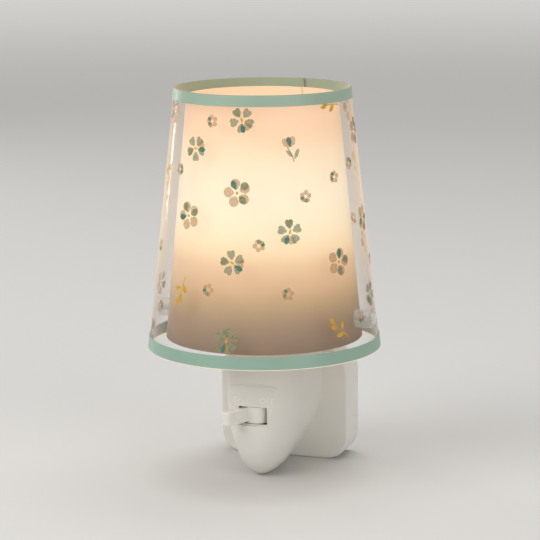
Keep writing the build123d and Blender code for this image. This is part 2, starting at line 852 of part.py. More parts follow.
# Filament between its two support wires, in one run
with BuildPart() as bulb_filament:
    with BuildLine() as filament_route:
        FilletPolyline(
            (-stem_r / 4, 0, stem_top_z),
            (-stem_r / 4, 0, stem_top_z + filament_rise / 4),
            (-filament_span / 2, 0, stem_top_z + filament_rise),
            (0, 0, stem_top_z + filament_rise + filament_span / 8),
            (filament_span / 2, 0, stem_top_z + filament_rise),
            (stem_r / 4, 0, stem_top_z + filament_rise / 4),
            (stem_r / 4, 0, stem_top_z),
            radius=3 * filament_r,
        )
    with BuildSketch(Plane(origin=filament_route.line @ 0, z_dir=(0, 0, 1))):
        Circle(filament_r)
    sweep()

bulb_filament.part.label = "bulb_filament"
export_step(bulb_filament.part, "parts/bulb_filament.step")

# Outer shade: cone of clear film with a hole on each side for a rivet
with BuildPart() as outer_shade:
    with BuildSketch(Plane.XZ):
        with BuildLine():
            Polyline(
                (shade_bottom_r, shade_bottom_z),
                (shade_top_r, shade_top_z),
                (shade_top_r - film, shade_top_z),
                (shade_bottom_r - film, shade_bottom_z),
                close=True,
            )
        make_face()
    revolve(axis=Axis.Z)
    with BuildSketch(Plane.YZ):
        with Locations((0, rivet_z)):
            Circle(rivet_r + rivet_play)
    extrude(amount=shade_bottom_r, both=True, mode=Mode.SUBTRACT)

outer_shade.part.label = "outer_shade"
export_step(outer_shade.part, "parts/outer_shade.step")

with BuildPart() as inner_diffuser:
    with BuildSketch(Plane.XZ):
        with BuildLine():
            Polyline(
                (diffuser_bottom_r, diffuser_bottom_z),
                (diffuser_top_r, diffuser_top_z),
                (diffuser_top_r - film, diffuser_top_z),
                (diffuser_bottom_r - film, diffuser_bottom_z),
                close=True,
            )
        make_face()
    revolve(axis=Axis.Z)
    with BuildSketch(Plane.YZ):
        with Locations((0, rivet_z)):
            Circle(rivet_r + rivet_play)
    extrude(amount=diffuser_bottom_r, both=True, mode=Mode.SUBTRACT)

inner_diffuser.part.label = "inner_diffuser"
export_step(inner_diffuser.part, "parts/inner_diffuser.step")

# Coloured tape around both ends of the outer shade
band_spans = {
    "bottom_trim": (shade_bottom_z + band_edge, shade_bottom_z + band_edge + bottom_band),
    "top_trim": (shade_top_z - top_band, shade_top_z),
}
for name, (low, high) in band_spans.items():
    with BuildPart() as trim:
        with BuildSketch(Plane.XZ):
            with BuildLine():
                Polyline(
                    (shade_radius(low) + seat_gap, low),
                    (shade_radius(low) + seat_gap + band_thickness, low),
                    (shade_radius(high) + seat_gap + band_thickness, high),
                    (shade_radius(high) + seat_gap, high),
                    close=True,
                )
            make_face()
        revolve(axis=Axis.Z)
    trim.part.label = name
    export_step(trim.part, f"parts/{name}.step")

# Clear spacers between the two films, shaped to both cones
spacer_low = rivet_z - 2 * spacer_r
spacer_high = rivet_z + 2 * spacer_r
with BuildPart() as spacer_room:
    with BuildSketch(Plane.XZ):
        with BuildLine():
            Polyline(
                (diffuser_radius(spacer_low) + seat_gap, spacer_low),
                (shade_radius(spacer_low) - film - seat_gap, spacer_low),
                (shade_radius(spacer_high) - film - seat_gap, spacer_high),
                (diffuser_radius(spacer_high) + seat_gap, spacer_high),
                close=True,
            )
        make_face()
    revolve(axis=Axis.Z)

with BuildPart() as shade_spacers:
    with BuildSketch(Plane.YZ):
        with Locations((0, rivet_z)):
            Circle(spacer_r)
            Circle(rivet_r + rivet_play, mode=Mode.SUBTRACT)
    extrude(amount=shade_bottom_r, both=True)
    add(spacer_room.part, mode=Mode.INTERSECT)

shade_spacers.part.label = "shade_spacers"
export_step(shade_spacers.part, "parts/shade_spacers.step")

# Bridge: ring around the holder, with an arm and a lug on each side
lug_top_z = rivet_z + lug_above_rivet
lug_inner_x = diffuser_radius(lug_top_z) - film - lug_thickness
ring_inner_r = holder_r + ring_play
ring_outer_r = ring_inner_r + ring_width
with BuildPart() as diffuser_core:
    with BuildSketch(Plane.XZ):
        with BuildLine():
            Polyline(
                (0, ring_bottom_z),
                (diffuser_radius(ring_bottom_z) - film - seat_gap, ring_bottom_z),
                (diffuser_radius(lug_top_z) - film - seat_gap, lug_top_z),
                (0, lug_top_z),
                close=True,
            )
        make_face()
    revolve(axis=Axis.Z)

with BuildPart() as shade_bridge:
    with BuildSketch(Plane.XZ):
        with BuildLine():
            Polyline(
                (ring_inner_r, ring_bottom_z),
                (diffuser_bottom_r, ring_bottom_z),
                (diffuser_bottom_r, lug_top_z),
                (lug_inner_x, lug_top_z),
                (lug_inner_x, ring_bottom_z + arm_height),
                (ring_inner_r, ring_bottom_z + arm_height),
                close=True,
            )
        make_face()
        mirror(about=Plane.YZ)
    extrude(amount=arm_width / 2, both=True)
    add(diffuser_core.part, mode=Mode.INTERSECT)
    with BuildSketch(Plane.XY.offset(ring_bottom_z)):
        Circle(ring_outer_r)
    extrude(amount=ring_height)
    with BuildSketch(Plane.XY.offset(ring_bottom_z)):
        Circle(ring_inner_r)
    extrude(amount=ring_height, mode=Mode.SUBTRACT)
    with BuildSketch(Plane.YZ):
        with Locations((0, rivet_z)):
            Circle(rivet_r + rivet_play)
    extrude(amount=diffuser_bottom_r, both=True, mode=Mode.SUBTRACT)

shade_bridge.part.label = "shade_bridge"
export_step(shade_bridge.part, "parts/shade_bridge.step")

# Clear rivets through both films, with a head outside and a flange inside each lug
head_outer_x = shade_radius(rivet_z) + rivet_head
with BuildPart() as outer_cone:
    with BuildSketch(Plane.XZ):
        with BuildLine():
            Polyline(
                (0, spacer_low),
                (shade_radius(spacer_low) + seat_gap, spacer_low),
                (shade_radius(spacer_high) + seat_gap, spacer_high),
                (0, spacer_high),
                close=True,
            )
        make_face()
    revolve(axis=Axis.Z)

with BuildPart() as shade_rivets:
    with BuildSketch(Plane.YZ):
        with Locations((0, rivet_z)):
            Circle(rivet_head_r)
    extrude(amount=head_outer_x, both=True)
    fillet(shade_rivets.edges().filter_by(GeomType.CIRCLE), rivet_head / 2)
    add(outer_cone.part, mode=Mode.SUBTRACT)
    for side in (-1, 1):
        with BuildSketch(Plane.YZ.offset(side * (lug_inner_x - seat_gap))):
            with Locations((0, rivet_z)):
                Circle(rivet_r)
        extrude(amount=side * (head_outer_x - rivet_head / 2 - lug_inner_x))
        with BuildSketch(Plane.YZ.offset(side * (lug_inner_x - seat_gap))):
            with Locations((0, rivet_z)):
                Circle(rivet_head_r)
        extrude(amount=-side * rivet_head / 2)

shade_rivets.part.label = "shade_rivets"
export_step(shade_rivets.part, "parts/shade_rivets.step")

# Three leads inside the housing. Each route is a list of points, with a radius for each corner.
pin_front_y = prong_end_y - wall
pin_x = prong_spacing / 2
bore_x = (cable_bore_r - spigot_play) / 2
block_z = shelf_z - block_height
lead_z = slot_z + slot_height / 2 + cradle_wall + lead_rise
lead_routes = {
    "lead_live": [
        (pin_x, pin_front_y, plate_mid_z),
        (pin_x, pin_front_y - lead_straight, plate_mid_z),
        (live_contact_x, contact_rear_y + lead_straight, bridge_mid_z),
        (live_contact_x, contact_rear_y, bridge_mid_z),
    ],
    "lead_switched": [
        (switched_contact_x, contact_rear_y, bridge_mid_z),
        (switched_contact_x, contact_rear_y + lead_straight, bridge_mid_z),
        (switched_contact_x, contact_rear_y + lead_straight, lead_z),
        (bore_x, 0, lead_z),
        (bore_x, 0, block_z - 2 * lead_entry),
        (tip_stud_x, 0, block_z - lead_entry),
        (tip_stud_x, 0, block_z),
    ],
    "lead_neutral": [
        (-pin_x, pin_front_y, plate_mid_z),
        (-pin_x, pin_front_y - lead_straight, plate_mid_z),
        (-pin_x, pin_front_y - 1.5 * lead_straight, lead_z),
        (-bore_x, 0, lead_z),
        (-bore_x, 0, block_z - 3 * lead_entry),
        (shell_stud_x, 0, block_z - lead_entry),
        (shell_stud_x, 0, block_z),
    ],
}


def corner_radii(route):
    """Largest arc that the runs beside each corner allow."""
    points = [Vector(*point) for point in route]
    radii = []
    for before, corner, after in zip(points, points[1:], points[2:]):
        half_turn = math.radians((corner - before).get_angle(after - corner)) / 2
        shorter = min((corner - before).length, (after - corner).length)
        radii.append(arc_share * shorter / math.tan(half_turn))
    return radii


for name, route in lead_routes.items():
    with BuildPart() as lead:
        with BuildLine() as lead_line:
            FilletPolyline(*route, radius=corner_radii(route))
        with BuildSketch(Plane(origin=lead_line.line @ 0, z_dir=lead_line.line % 0)):
            Circle(lead_r)
        sweep()
    print(name, "length", round(lead_line.wire().length, 1), "smallest radius", round(min(corner_radii(route)), 1))
    lead.part.label = name
    export_step(lead.part, f"parts/{name}.step")
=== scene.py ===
import math

import bpy
from mathutils import Matrix, Vector


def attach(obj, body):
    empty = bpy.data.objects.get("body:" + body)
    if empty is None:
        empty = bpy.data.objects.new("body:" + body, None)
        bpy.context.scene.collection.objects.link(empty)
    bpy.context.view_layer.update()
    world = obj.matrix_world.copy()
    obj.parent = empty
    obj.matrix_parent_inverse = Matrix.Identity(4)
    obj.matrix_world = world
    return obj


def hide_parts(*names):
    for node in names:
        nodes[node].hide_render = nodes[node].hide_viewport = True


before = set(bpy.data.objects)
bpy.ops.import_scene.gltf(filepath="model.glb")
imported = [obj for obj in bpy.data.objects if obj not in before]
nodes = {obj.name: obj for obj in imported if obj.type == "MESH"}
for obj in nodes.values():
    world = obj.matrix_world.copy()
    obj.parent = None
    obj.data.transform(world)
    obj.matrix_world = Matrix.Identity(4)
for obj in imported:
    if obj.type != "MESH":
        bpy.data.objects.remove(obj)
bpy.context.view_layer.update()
mm = 0.001
print("frame loaded:", len(nodes), "nodes")


# Helpers for objects

def deselectAll():
    bpy.ops.object.select_all(action="DESELECT")


def selectOnly(obj):
    deselectAll()
    obj.select_set(True)
    bpy.context.view_layer.objects.active = obj


def applyPlace(obj):
    selectOnly(obj)
    bpy.ops.object.transform_apply(location=True, rotation=True, scale=True)


def applyModifiers(obj):
    selectOnly(obj)
    for modifier in list(obj.modifiers):
        bpy.ops.object.modifier_apply(modifier=modifier.name)


def joinAll(parts, name):
    selectOnly(parts[0])
    for part in parts:
        part.select_set(True)
    if len(parts) > 1:
        bpy.ops.object.join()
    parts[0].name = name
    parts[0].data.name = name
    return parts[0]


def editPoints(obj, chosen):  # opens obj in edit mode with the chosen points selected
    selectOnly(obj)
    for part in (*obj.data.edges, *obj.data.polygons):
        part.select = False
    for point in obj.data.vertices:
        point.select = chosen(point.co)
    bpy.ops.object.mode_set(mode="EDIT")
    bpy.ops.mesh.select_mode(type="VERT")


# Helpers for shader nodes

def newGroup(name, numbers, outputs):
    group = bpy.data.node_groups.new(name, "ShaderNodeTree")
    group.interface.new_socket("Coord", in_out="INPUT", socket_type="NodeSocketVector")
    for label, value in numbers.items():
        socket = group.interface.new_socket(label, in_out="INPUT", socket_type="NodeSocketFloat")
        socket.default_value = value
    for label in outputs:
        group.interface.new_socket(label, in_out="OUTPUT", socket_type="NodeSocketFloat")
    return group, group.nodes.new("NodeGroupInput"), group.nodes.new("NodeGroupOutput")


def placeGroup(tree, group, coord, numbers):
    node = tree.nodes.new("ShaderNodeGroup")
    node.node_tree = group
    tree.links.new(coord, node.inputs["Coord"])
    for label, value in numbers.items():
        node.inputs[label].default_value = value
    return node


def startMaterial(name):
    material = bpy.data.materials.new(name)
    material.use_nodes = True
    tree = material.node_tree
    coord = tree.nodes.new("ShaderNodeTexCoord").outputs["Object"]
    return material, tree, tree.nodes["Principled BSDF"], coord


def mixTones(tree, factor, first, second):
    mix = tree.nodes.new("ShaderNodeMix")
    mix.data_type = "RGBA"
    tree.links.new(factor, mix.inputs[0])
    mix.inputs[6].default_value = (*first, 1)
    mix.inputs[7].default_value = (*second, 1)
    return mix.outputs[2]


def remap(tree, value, low, high):
    node = tree.nodes.new("ShaderNodeMapRange")
    node.inputs["To Min"].default_value = low
    node.inputs["To Max"].default_value = high
    tree.links.new(value, node.inputs["Value"])
    return node.outputs["Result"]


def twoTones(tree, shader, patch, look):  # colour and roughness both wander over the surface
    color = mixTones(tree, patch, look["dark"], look["light"])
    tree.links.new(color, shader.inputs["Base Color"])
    tree.links.new(remap(tree, patch, *look["rough"]), shader.inputs["Roughness"])


def bumpFrom(tree, shader, height, distance, strength):
    bump = tree.nodes.new("ShaderNodeBump")
    bump.inputs["Distance"].default_value = distance
    bump.inputs["Strength"].default_value = strength
    tree.links.new(height, bump.inputs["Height"])
    tree.links.new(bump.outputs["Normal"], shader.inputs["Normal"])


def grazingShare(tree, power):  # 0 where the surface faces the eye, 1 where it is seen from its edge
    facing = tree.nodes.new("ShaderNodeLayerWeight")
    facing.inputs["Blend"].default_value = 0.5
    raised = tree.nodes.new("ShaderNodeMath")
    raised.operation = "POWER"
    raised.inputs[1].default_value = power
    tree.links.new(facing.outputs["Facing"], raised.inputs[0])
    return raised.outputs["Value"]


def glowByHeight(tree, shader, coord, look):
    split = tree.nodes.new("ShaderNodeSeparateXYZ")
    tree.links.new(coord, split.inputs["Vector"])
    share = tree.nodes.new("ShaderNodeMapRange")
    share.inputs["From Min"].default_value = look["low"]
    share.inputs["From Max"].default_value = look["high"]
    tree.links.new(split.outputs["Z"], share.inputs["Value"])
    ramp = tree.nodes.new("ShaderNodeValToRGB")
    ramp.color_ramp.interpolation = "B_SPLINE"
    steps = ramp.color_ramp.elements
    while len(steps) < len(look["glow"]):
        steps.new(0.5)
    for step, (place, glow) in zip(steps, look["glow"]):
        step.position = place
        step.color = (*glow, 1)
    tree.links.new(share.outputs["Result"], ramp.inputs["Fac"])
    tree.links.new(ramp.outputs["Color"], shader.inputs["Emission Color"])
    shader.inputs["Emission Strength"].default_value = 1
    if "edgeLoss" in look:  # less of the light leaves along the surface
        left = remap(tree, grazingShare(tree, 2), 1, 1 - look["edgeLoss"])
        tree.links.new(left, shader.inputs["Emission Strength"])


# Shared effects, as node groups, and their usual numbers

grainNumbers = {"Size": 1400.0, "Patch Size": 55.0}
drawnNumbers = {"Size": 900.0, "Stretch": 0.06}
washNumbers = {"Size": 260.0, "Cover Low": 0.8, "Cover High": 0.97}
noiseDetail = {"grain": 3, "patch": 4, "lines": 2, "tarnish": 5, "wash": 2}
tarnishSize = 180
washDistortion = 0.8
washSpread = (0.36, 0.64)  # the noise's range that is stretched to the whole change of tone
bumpDepth = {"grain": 0.0001, "lines": 0.00005}  # metres


def buildGrain():  # fine moulded grain, and broad patches where the surface was handled
    group, entry, leave = newGroup("mouldedGrain", grainNumbers, ("Height", "Patch"))
    for label, output, kind in (("Size", "Height", "grain"), ("Patch Size", "Patch", "patch")):
        noise = group.nodes.new("ShaderNodeTexNoise")
        noise.inputs["Detail"].default_value = noiseDetail[kind]
        group.links.new(entry.outputs["Coord"], noise.inputs["Vector"])
        group.links.new(entry.outputs[label], noise.inputs["Scale"])
        group.links.new(noise.outputs["Fac"], leave.inputs[output])
    return group


def buildDrawn():  # fine lines along the length of drawn or turned metal
    group, entry, leave = newGroup("drawnLines", drawnNumbers, ("Height", "Patch"))
    combine = group.nodes.new("ShaderNodeCombineXYZ")
    combine.inputs["X"].default_value = 1
    combine.inputs["Y"].default_value = 1
    group.links.new(entry.outputs["Stretch"], combine.inputs["Z"])
    scaled = group.nodes.new("ShaderNodeVectorMath")
    scaled.operation = "MULTIPLY"
    group.links.new(entry.outputs["Coord"], scaled.inputs[0])
    group.links.new(combine.outputs["Vector"], scaled.inputs[1])
    lines = group.nodes.new("ShaderNodeTexNoise")
    lines.inputs["Detail"].default_value = noiseDetail["lines"]
    group.links.new(scaled.outputs["Vector"], lines.inputs["Vector"])
    group.links.new(entry.outputs["Size"], lines.inputs["Scale"])
    group.links.new(lines.outputs["Fac"], leave.inputs["Height"])
    tarnish = group.nodes.new("ShaderNodeTexNoise")
    tarnish.inputs["Scale"].default_value = tarnishSize
    tarnish.inputs["Detail"].default_value = noiseDetail["tarnish"]
    group.links.new(entry.outputs["Coord"], tarnish.inputs["Vector"])
    group.links.new(tarnish.outputs["Fac"], leave.inputs["Patch"])
    return group


def buildWash():  # uneven ink: a slow change of tone and a thin cover
    group, entry, leave = newGroup("inkWash", washNumbers, ("Tone", "Cover"))
    tone = group.nodes.new("ShaderNodeTexNoise")
    tone.inputs["Detail"].default_value = noiseDetail["wash"]
    tone.inputs["Distortion"].default_value = washDistortion
    group.links.new(entry.outputs["Coord"], tone.inputs["Vector"])
    group.links.new(entry.outputs["Size"], tone.inputs["Scale"])
    spread = group.nodes.new("ShaderNodeMapRange")
    spread.inputs["From Min"].default_value = washSpread[0]
    spread.inputs["From Max"].default_value = washSpread[1]
    group.links.new(tone.outputs["Fac"], spread.inputs["Value"])
    group.links.new(spread.outputs["Result"], leave.inputs["Tone"])
    cover = group.nodes.new("ShaderNodeMapRange")
    group.links.new(tone.outputs["Fac"], cover.inputs["Value"])
    group.links.new(entry.outputs["Cover Low"], cover.inputs["To Min"])
    group.links.new(entry.outputs["Cover High"], cover.inputs["To Max"])
    group.links.new(cover.outputs["Result"], leave.inputs["Cover"])
    return group


grainGroup = buildGrain()
drawnGroup = buildDrawn()
washGroup = buildWash()
print("shared effects built")


# Plastics: a lighter and a darker tone, a range of roughness, depth of the grain

plastics = {
    "housingPlastic": ((0.80, 0.785, 0.735), (0.745, 0.73, 0.675), (0.36, 0.50), 0.10),
    "coverPlastic": ((0.77, 0.755, 0.70), (0.71, 0.695, 0.64), (0.40, 0.55), 0.12),
    "letterPlastic": ((0.96, 0.945, 0.90), (0.93, 0.915, 0.87), (0.28, 0.38), 0.04),
    "leverPlastic": ((0.83, 0.815, 0.765), (0.79, 0.775, 0.72), (0.20, 0.32), 0.04),
    "cradlePlastic": ((0.030, 0.030, 0.032), (0.018, 0.018, 0.020), (0.45, 0.60), 0.12),
    "holderPlastic": ((0.78, 0.76, 0.71), (0.72, 0.70, 0.65), (0.45, 0.60), 0.12),
    "coreCeramic": ((0.80, 0.79, 0.75), (0.72, 0.71, 0.67), (0.60, 0.78), 0.22),
    "collarPlastic": ((0.022, 0.022, 0.023), (0.012, 0.012, 0.013), (0.38, 0.52), 0.08),
    "bridgePlastic": ((0.80, 0.78, 0.72), (0.75, 0.73, 0.67), (0.38, 0.52), 0.10),
    # painted shade: this dark brown stands in for the shadow on the films' cut edges and along the band's glued
    # seam
    "cutEdgeShade": ((0.30, 0.25, 0.19), (0.24, 0.20, 0.15), (0.45, 0.60), 0.05),
    "capInsulator": ((0.016, 0.014, 0.018), (0.008, 0.007, 0.010), (0.12, 0.22), 0.03),
    "bandTape": ((0.305, 0.455, 0.365), (0.265, 0.405, 0.320), (0.34, 0.46), 0.10),
    "litTape": ((0.305, 0.455, 0.365), (0.265, 0.405, 0.320), (0.34, 0.46), 0.10),
    "leadBrown": ((0.072, 0.030, 0.014), (0.050, 0.020, 0.010), (0.36, 0.48), 0.05),
    "leadBlue": ((0.012, 0.045, 0.190), (0.008, 0.032, 0.140), (0.36, 0.48), 0.05),
    "leadBlack": ((0.014, 0.014, 0.014), (0.008, 0.008, 0.008), (0.36, 0.48), 0.05),
}
tapeGlow = (0.045, 0.020, 0.006)  # the bulb shines through the top band
materials = {}
for name, (light, dark, rough, depth) in plastics.items():
    material, tree, shader, coord = startMaterial(name)
    grain = placeGroup(tree, grainGroup, coord, grainNumbers)
    twoTones(tree, shader, grain.outputs["Patch"], {"light": light, "dark": dark, "rough": rough})
    bumpFrom(tree, shader, grain.outputs["Height"], bumpDepth["grain"], depth)
    if name == "litTape":
        shader.inputs["Emission Color"].default_value = (*tapeGlow, 1)
        shader.inputs["Emission Strength"].default_value = 1
    materials[name] = material

# Metals: drawn lines and a little tarnish

metals = {
    "platedSteel": {"light": (0.56, 0.56, 0.57), "dark": (0.40, 0.40, 0.41), "rough": (0.28, 0.44)},
    "plainBrass": {"light": (0.72, 0.52, 0.21), "dark": (0.55, 0.37, 0.14), "rough": (0.26, 0.42)},
    "pinNickel": {"light": (0.72, 0.71, 0.68), "dark": (0.60, 0.59, 0.56), "rough": (0.16, 0.30)},
    "capMetal": {"light": (0.74, 0.73, 0.70), "dark": (0.60, 0.59, 0.57), "rough": (0.20, 0.36)},
    "dullSolder": {"light": (0.42, 0.42, 0.43), "dark": (0.30, 0.30, 0.31), "rough": (0.42, 0.60)},
}
metalBump = 0.12
for name, look in metals.items():
    material, tree, shader, coord = startMaterial(name)
    drawn = placeGroup(tree, drawnGroup, coord, drawnNumbers)
    twoTones(tree, shader, drawn.outputs["Patch"], look)
    shader.inputs["Metallic"].default_value = 1
    bumpFrom(tree, shader, drawn.outputs["Height"], bumpDepth["lines"], metalBump)
    materials[name] = material

# Clear pieces: thin plastic that is easy to see through from the front and shines at its edges

clears = {  # least and most cover run from facing to grazing
    "clearFilm": {"color": (0.50, 0.47, 0.41), "rough": 0.09, "least": 0.03, "most": 0.80, "scratch": 0.03},
    "clearPlastic": {"color": (0.82, 0.82, 0.80), "rough": 0.14, "least": 0.38, "most": 0.95, "scratch": 0.08},
    "stemGlass": {"color": (0.85, 0.87, 0.86), "rough": 0.04, "least": 0.25, "most": 0.95, "scratch": 0.02},
}
clearGrain = {"Size": 500.0, "Patch Size": 24.0}
clearSpread = (0.7, 1.4)  # least and most share of the roughness
clearPower = 4
for name, look in clears.items():
    material, tree, shader, coord = startMaterial(name)
    grain = placeGroup(tree, grainGroup, coord, clearGrain)
    shader.inputs["Base Color"].default_value = (*look["color"], 1)
    rough = remap(tree, grain.outputs["Patch"], *(look["rough"] * share for share in clearSpread))
    tree.links.new(rough, shader.inputs["Roughness"])
    grazing = grazingShare(tree, clearPower)
    tree.links.new(remap(tree, grazing, look["least"], look["most"]), shader.inputs["Alpha"])
    bumpFrom(tree, shader, grain.outputs["Height"], bumpDepth["grain"], look["scratch"])
    materials[name] = material

filmGlow = {  # the clear film scatters a little of the light that leaves the white one
    "low": 0.0677,
    "high": 0.2015,
    "glow": (
        (0.00, (0.04, 0.02, 0.01)),
        (0.15, (0.08, 0.05, 0.02)),
        (0.35, (0.22, 0.14, 0.07)),
        (0.55, (0.34, 0.22, 0.11)),
        (0.80, (0.30, 0.19, 0.10)),
        (1.00, (0.15, 0.09, 0.04)),
    ),
}
# below the tape, the film's cut edge carries the light
litEdge = {"low": 0.0681, "high": 0.0683, "color": (0.52, 0.40, 0.27)}


def lightEdge(tree, shader, coord):
    split = tree.nodes.new("ShaderNodeSeparateXYZ")
    tree.links.new(coord, split.inputs["Vector"])
    below = tree.nodes.new("ShaderNodeMapRange")
    below.inputs["From Min"].default_value = litEdge["low"]
    below.inputs["From Max"].default_value = litEdge["high"]
    below.inputs["To Min"].default_value = 1
    below.inputs["To Max"].default_value = 0
    tree.links.new(split.outputs["Z"], below.inputs["Value"])
    mix = tree.nodes.new("ShaderNodeMix")
    mix.data_type = "RGBA"
    tree.links.new(below.outputs["Result"], mix.inputs[0])
    tree.links.new(shader.inputs["Emission Color"].links[0].from_socket, mix.inputs[6])
    mix.inputs[7].default_value = (*litEdge["color"], 1)
    tree.links.new(mix.outputs[2], shader.inputs["Emission Color"])
    cover = tree.nodes.new("ShaderNodeMath")
    cover.operation = "MAXIMUM"
    tree.links.new(shader.inputs["Alpha"].links[0].from_socket, cover.inputs[0])
    tree.links.new(below.outputs["Result"], cover.inputs[1])
    tree.links.new(cover.outputs["Value"], shader.inputs["Alpha"])


filmTree = materials["clearFilm"].node_tree
filmCoord = next(node for node in filmTree.nodes if node.type == "TEX_COORD").outputs["Object"]
filmShader = filmTree.nodes["Principled BSDF"]
glowByHeight(filmTree, filmShader, filmCoord, filmGlow)
lightEdge(filmTree, filmShader, filmCoord)

# The white film glows where the bulb is close behind it

diffuser = {
    "light": (0.32, 0.238, 0.16),
    "dark": (0.295, 0.218, 0.144),
    "rough": (0.5, 0.65),
    "grain": {"Size": 900.0, "Patch Size": 40.0},
    "bump": 0.05,
    "edgeLoss": 0.28,
    "low": 0.0735,
    "high": 0.196,
    "glow": (  # share of the height, colour of the glow
        (0.00, (0.015, 0.000, 0.002)),
        (0.10, (0.067, 0.025, 0.016)),
        (0.18, (0.220, 0.137, 0.050)),
        (0.25, (0.420, 0.240, 0.115)),
        (0.35, (0.630, 0.395, 0.227)),
        (0.41, (0.770, 0.577, 0.338)),
        (0.49, (0.800, 0.675, 0.458)),
        (0.64, (0.820, 0.732, 0.562)),
        (0.80, (0.780, 0.597, 0.398)),
        (0.89, (0.770, 0.497, 0.308)),
        (1.00, (0.735, 0.462, 0.300)),
    ),
}

# Bulb: frosted glass and a hot wire

bulb = {
    "light": (0.56, 0.52, 0.45),
    "dark": (0.50, 0.46, 0.39),
    "rough": (0.5, 0.7),
    "grain": {"Size": 1800.0, "Patch Size": 90.0},
    "bump": 0.1,
    "low": 0.1138,
    "high": 0.160,
    "glow": (
        (0.00, (0.16, 0.07, 0.02)),
        (0.22, (0.38, 0.22, 0.10)),
        (0.45, (0.85, 0.62, 0.36)),
        (0.62, (1.00, 0.86, 0.60)),
        (0.80, (0.72, 0.52, 0.30)),
        (1.00, (0.40, 0.25, 0.12)),
    ),
}

for name, look in (("diffuserFilm", diffuser), ("frostedGlass", bulb)):
    material, tree, shader, coord = startMaterial(name)
    grain = placeGroup(tree, grainGroup, coord, look["grain"])
    twoTones(tree, shader, grain.outputs["Patch"], look)
    glowByHeight(tree, shader, coord, look)
    bumpFrom(tree, shader, grain.outputs["Height"], bumpDepth["grain"], look["bump"])
    materials[name] = material

wire = {
    "cooler": (1.0, 0.55, 0.22),
    "hotter": (1.0, 0.70, 0.38),
    "strength": 4.0,
    "metal": (0.30, 0.27, 0.24),
    "rough": 0.5,
}
material, tree, shader, coord = startMaterial("hotWire")
drawn = placeGroup(tree, drawnGroup, coord, drawnNumbers)
heat = mixTones(tree, drawn.outputs["Patch"], wire["cooler"], wire["hotter"])
tree.links.new(heat, shader.inputs["Emission Color"])
shader.inputs["Emission Strength"].default_value = wire["strength"]
shader.inputs["Base Color"].default_value = (*wire["metal"], 1)
shader.inputs["Metallic"].default_value = 1
shader.inputs["Roughness"].default_value = wire["rough"]
materials["hotWire"] = material

# Printing inks

inks = {  # a lighter and a darker tone, least and most cover
    "inkTaupe": ((0.64, 0.375, 0.165), (0.52, 0.30, 0.13), (0.36, 0.52)),
    "inkSage": ((0.33, 0.355, 0.195), (0.23, 0.27, 0.15), (0.44, 0.62)),
    "inkTeal": ((0.10, 0.28, 0.20), (0.055, 0.19, 0.145), (0.58, 0.78)),
    "inkMustard": ((0.80, 0.47, 0.045), (0.62, 0.36, 0.035), (0.74, 0.90)),
}
inkRough = 0.35
inkOffset = {"inkTaupe": 0.10, "inkSage": 0.14, "inkTeal": 0.18, "inkMustard": 0.26}  # millimetres off the film
for name, (light, dark, (least, most)) in inks.items():
    material, tree, shader, coord = startMaterial(name)
    wash = placeGroup(tree, washGroup, coord, {**washNumbers, "Cover Low": least, "Cover High": most})
    color = mixTones(tree, wash.outputs["Tone"], dark, light)
    tree.links.new(color, shader.inputs["Base Color"])
    tree.links.new(wash.outputs["Cover"], shader.inputs["Alpha"])
    shader.inputs["Roughness"].default_value = inkRough
    materials[name] = material
print("materials built:", len(materials))

# Finish of each node of the frame

nodeFinish = {
    "housingPlastic": ("front_housing",),
    "coverPlastic": ("rear_cover",),
    "leverPlastic": ("switch_lever",),
    "cradlePlastic": ("switch_cradle",),
    "holderPlastic": ("holder_sleeve", "holder_nut"),
    "coreCeramic": ("holder_core",),
    "collarPlastic": ("pin_collars",),
    "bridgePlastic": ("shade_bridge",),
    "capInsulator": ("bulb_insulator",),
    "bandTape": ("bottom_trim",),
    "litTape": ("top_trim",),
    "leadBrown": ("lead_live",),
    "leadBlue": ("lead_neutral",),
    "leadBlack": ("lead_switched",),
    "platedSteel": ("cover_screws", "terminal_screws", "cradle_screws", "lever_pin", "detent_spring"),
    "plainBrass": (
        "contact_bridge",
        "fixed_contacts",
        "holder_shell",
        "holder_contact",
        "holder_terminals",
        "pin_terminals",
    ),
    "pinNickel": ("plug_pins",),
    "capMetal": ("bulb_cap",),
    "dullSolder": ("bulb_tip",),
    "clearFilm": ("outer_shade",),
    "clearPlastic": ("shade_rivets", "shade_spacers"),
    "stemGlass": ("bulb_stem",),
    "diffuserFilm": ("inner_diffuser",),
    "frostedGlass": ("bulb_glass",),
    "hotWire": ("bulb_filament",),
}
for finish, names in nodeFinish.items():
    for name in names:
        for place in nodes[name].material_slots:
            place.material = materials[finish]
print("nodes finished")

# Printed motifs. Each is drawn flat, in millimetres and degrees, and laid on the outer film.

